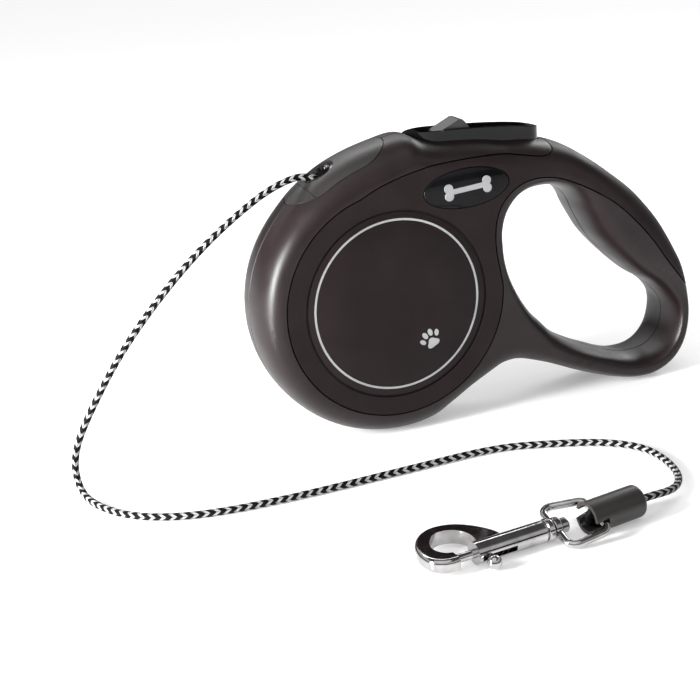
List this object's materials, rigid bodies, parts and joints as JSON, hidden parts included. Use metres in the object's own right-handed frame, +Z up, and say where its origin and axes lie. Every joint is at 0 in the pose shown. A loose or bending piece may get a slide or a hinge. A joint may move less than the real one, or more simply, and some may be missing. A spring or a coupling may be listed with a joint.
{
  "type": "retractable dog leash",
  "caption": "Retractable cord leash: sprung cord reel in a drum housing with a loop handle, thumb brake button and lock, and a swivel bolt snap at the cord's end.",
  "frame": {"origin": "on the ground, under the middle of the housing's bounding box; the housing stands on the bottom of its drum and of its handle", "axes": "+X from the cord outlet towards the hand, +Z up, the left side cover faces -Y; the drum's axis runs along Y"},
  "size_m": [0.1928, 0.1158, 0.0866],
  "materials": {
    "shell_plastic": "charcoal, fine moulded grain, satin",
    "cover_plastic": "charcoal, fine moulded grain, satin",
    "label_print": "charcoal foil with a silver ring and a paw mark",
    "badge_gloss": "polished black dome",
    "insert_plastic": "dark grey, satin",
    "bush_gloss": "polished black",
    "button_gloss": "glossy black",
    "slider_satin": "black, satin",
    "reel_plastic": "natural acetal",
    "steel": "bright zinc-plated steel",
    "spring_steel": "blued spring steel",
    "chrome": "polished chrome plate",
    "cord_braid": "round nylon braid, black and white chevrons",
    "cap_rubber": "brown-black soft rubber"
  },
  "bodies": {
    "housing": {"left_housing": "shell_plastic", "right_housing": "shell_plastic", "left_side_cover": "cover_plastic", "right_side_cover": "cover_plastic", "left_label_disc": "label_print", "right_label_disc": "label_print", "left_badge": "badge_gloss", "right_badge": "badge_gloss", "outlet_insert": "insert_plastic", "outlet_lip": "insert_plastic", "outlet_bush": "bush_gloss", "axle": "steel", "spring_arbor": "steel", "axle_washers": "steel", "inner_cord_run": "cord_braid", "brake_pivot_pin": "steel", "button_spring": "spring_steel", "housing_screws": "steel", "leash_cord": "cord_braid", "cord_cap": "cap_rubber", "cord_loop": "cord_braid"},
    "reel": {"reel": "reel_plastic", "reel_cover": "reel_plastic", "spiral_spring": "spring_steel", "wound_cord": "cord_braid"},
    "brake": {"brake_button": "button_gloss", "brake_pawl": "steel"},
    "lock": {"lock_slider": "slider_satin"},
    "stirrup": {"swivel_stirrup": "chrome"},
    "snap": {"snap_hook": "chrome", "swivel_rivet": "chrome", "bolt_spring": "spring_steel"},
    "bolt": {"snap_bolt": "chrome"}
  },
  "joints": [
    {"name": "reel_spin", "type": "hinge", "parent": "housing", "child": "reel", "pos_m": [-0.0302, 0, 0.0391], "axis": [0, -1, 0], "range_deg": [-720, 7560]},
    {"name": "button_press", "type": "hinge", "parent": "housing", "child": "brake", "pos_m": [0.0168, 0, 0.0747], "axis": [0, -1, 0], "range_deg": [0, 4.5], "stiffness_Nm_per_rad": 1.5, "springref_deg": -2.86, "deforming": ["button_spring"]},
    {"name": "lock_slide", "type": "slide", "parent": "brake", "child": "lock", "axis": [-0.9991, 0, 0.0419], "range_m": [0, 0.003]},
    {"name": "stirrup_swing", "type": "hinge", "parent": "housing", "child": "stirrup", "pos_m": [-0.01336, -0.09359, 0.00415], "axis": [-0.0233, 0.9747, 0.2222], "range_deg": [-10, 25]},
    {"name": "snap_swivel", "type": "hinge", "parent": "stirrup", "child": "snap", "pos_m": [-0.0471, -0.0957, 0.003], "axis": [0.9919, 0.1271, 0], "continuous": true},
    {"name": "bolt_slide", "type": "slide", "parent": "snap", "child": "bolt", "axis": [0.9919, 0.1271, 0], "range_m": [0, 0.0065], "stiffness_N_per_m": 250, "springref_m": -0.004, "deforming": ["bolt_spring"]}
  ]
}
